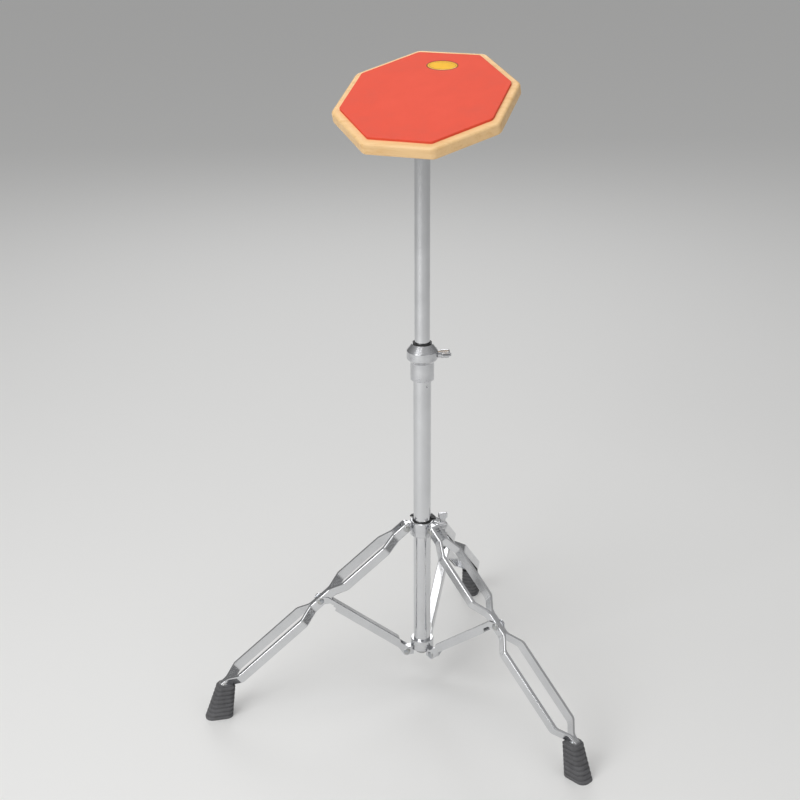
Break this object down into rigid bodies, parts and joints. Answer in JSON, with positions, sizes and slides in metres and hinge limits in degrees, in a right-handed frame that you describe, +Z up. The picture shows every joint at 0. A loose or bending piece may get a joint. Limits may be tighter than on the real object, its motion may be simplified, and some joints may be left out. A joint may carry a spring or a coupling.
{
  "type": "practice pad on tripod stand",
  "caption": "Octagonal rubber-faced drum practice pad that tilts and spins on a telescopic post with a folding double-braced tripod.",
  "frame": {"origin": "on the floor, on the axis of the upright tubes", "axes": "+Z up along the tubes, +Y towards the rear leg, the pad leans towards -Y"},
  "size_m": [0.5148, 0.4481, 0.8385],
  "materials": {
    "chrome_steel": "bright chrome plate on drawn and pressed steel",
    "chrome_casting": "chrome plated zinc die casting, slightly softer shine",
    "zinc_steel": "bright zinc plated steel",
    "black_nylon": "moulded black nylon",
    "foot_rubber": "dark grey moulded rubber, matt",
    "board_wood": "smooth lacquered pale wood board",
    "pad_rubber": "coral red matt rubber sheet",
    "badge_plastic": "yellow oval badge with a plain dark ring"
  },
  "bodies": {
    "base": {"lower_tube": "chrome_steel", "tube_end_plug": "black_nylon", "bottom_collar": "chrome_casting", "height_clamp": "chrome_casting", "clamp_bush": "black_nylon"},
    "clamp_screw": {"clamp_wing_screw": "chrome_casting"},
    "tripod_slider": {"tripod_collar": "chrome_casting", "tripod_collar_liner": "black_nylon"},
    "tripod_screw": {"tripod_wing_screw": "chrome_casting"},
    "guide": {"guide_bush": "black_nylon"},
    "upper_post": {"upper_tube": "chrome_steel", "tilter_base": "chrome_casting", "tilter_bolt": "chrome_steel"},
    "tilter": {"tilter_arm": "chrome_casting", "pad_stud": "chrome_steel"},
    "tilter_nut": {"tilter_wing_nut": "chrome_casting", "tilter_washer": "zinc_steel"},
    "stud_nut": {"stud_lock_nut": "zinc_steel"},
    "pad": {"pad_board": "board_wood", "playing_rubber": "pad_rubber", "pad_badge": "badge_plastic", "pad_tee_nut": "zinc_steel"},
    "front_left_brace": {"front_left_link": "chrome_steel", "front_left_link_rivet": "zinc_steel"},
    "front_left_leg": {"front_left_leg_strip_left": "chrome_steel", "front_left_leg_strip_right": "chrome_steel", "front_left_foot": "foot_rubber", "front_left_leg_top_rivet": "zinc_steel", "front_left_leg_mid_rivet": "zinc_steel", "front_left_foot_rivet": "zinc_steel"},
    "front_right_brace": {"front_right_link": "chrome_steel", "front_right_link_rivet": "zinc_steel"},
    "front_right_leg": {"front_right_leg_strip_left": "chrome_steel", "front_right_leg_strip_right": "chrome_steel", "front_right_foot": "foot_rubber", "front_right_leg_top_rivet": "zinc_steel", "front_right_leg_mid_rivet": "zinc_steel", "front_right_foot_rivet": "zinc_steel"},
    "rear_brace": {"rear_link": "chrome_steel", "rear_link_rivet": "zinc_steel"},
    "rear_leg": {"rear_leg_strip_left": "chrome_steel", "rear_leg_strip_right": "chrome_steel", "rear_foot": "foot_rubber", "rear_leg_top_rivet": "zinc_steel", "rear_leg_mid_rivet": "zinc_steel", "rear_foot_rivet": "zinc_steel"}
  },
  "joints": [
    {"name": "front_left_fold", "type": "hinge", "parent": "base", "child": "front_left_brace", "pos_m": [-0.01905, -0.011, 0.063], "axis": [-0.5, 0.866, 0], "range_deg": [-6, 42]},
    {"name": "front_left_knee", "type": "hinge", "parent": "front_left_brace", "child": "front_left_leg", "pos_m": [-0.11865, -0.0685, 0.155], "axis": [-0.5, 0.866, 0], "range_deg": [-84, 12]},
    {"name": "front_right_fold", "type": "hinge", "parent": "base", "child": "front_right_brace", "pos_m": [0.01905, -0.011, 0.063], "axis": [-0.5, -0.866, 0], "range_deg": [-6, 42]},
    {"name": "front_right_knee", "type": "hinge", "parent": "front_right_brace", "child": "front_right_leg", "pos_m": [0.11865, -0.0685, 0.155], "axis": [-0.5, -0.866, 0], "range_deg": [-84, 12]},
    {"name": "rear_fold", "type": "hinge", "parent": "base", "child": "rear_brace", "pos_m": [0, 0.022, 0.063], "axis": [1, 0, 0], "range_deg": [-6, 42]},
    {"name": "rear_knee", "type": "hinge", "parent": "rear_brace", "child": "rear_leg", "pos_m": [0, 0.137, 0.155], "axis": [1, 0, 0], "range_deg": [-84, 12]},
    {"name": "slider_on_leg", "type": "hinge", "parent": "front_left_leg", "child": "tripod_slider", "pos_m": [-0.01905, -0.011, 0.247], "axis": [-0.5, 0.866, 0], "range_deg": [-6, 42]},
    {"name": "tripod_screw_turn", "type": "hinge", "parent": "tripod_slider", "child": "tripod_screw", "pos_m": [0.01732, 0.01, 0.2425], "axis": [0.866, 0.5, 0], "range_deg": [0, 540]},
    {"name": "clamp_screw_turn", "type": "hinge", "parent": "base", "child": "clamp_screw", "pos_m": [0.01879, 0.00684, 0.482], "axis": [0.9397, 0.342, 0], "range_deg": [0, 540]},
    {"name": "height_slide", "type": "slide", "parent": "base", "child": "guide", "axis": [0, 0, 1], "range_m": [-0.2, 0.09]},
    {"name": "post_swivel", "type": "hinge", "parent": "guide", "child": "upper_post", "pos_m": [0, 0, 0.6], "axis": [0, 0, 1], "continuous": true},
    {"name": "pad_tilt", "type": "hinge", "parent": "upper_post", "child": "tilter", "pos_m": [0, 0, 0.76], "axis": [0.9976, -0.0698, 0], "range_deg": [-62, 48]},
    {"name": "tilter_nut_turn", "type": "hinge", "parent": "upper_post", "child": "tilter_nut", "pos_m": [0.01995, -0.00139, 0.76], "axis": [0.9976, -0.0698, 0], "range_deg": [0, 360]},
    {"name": "stud_nut_turn", "type": "hinge", "parent": "tilter", "child": "stud_nut", "pos_m": [0.009, -0.00964, 0.78225], "axis": [-0.0261, -0.3737, 0.9272], "continuous": true},
    {"name": "pad_spin", "type": "hinge", "parent": "tilter", "child": "pad", "pos_m": [0.00884, -0.01188, 0.78782], "axis": [-0.0261, -0.3737, 0.9272], "continuous": true}
  ],
  "couplings": [
    {"joint": "front_left_knee", "follows": "front_left_fold", "ratio": -2},
    {"joint": "front_right_fold", "follows": "front_left_fold", "ratio": 1},
    {"joint": "front_right_knee", "follows": "front_left_fold", "ratio": -2},
    {"joint": "rear_fold", "follows": "front_left_fold", "ratio": 1},
    {"joint": "rear_knee", "follows": "front_left_fold", "ratio": -2},
    {"joint": "slider_on_leg", "follows": "front_left_fold", "ratio": 1}
  ]
}
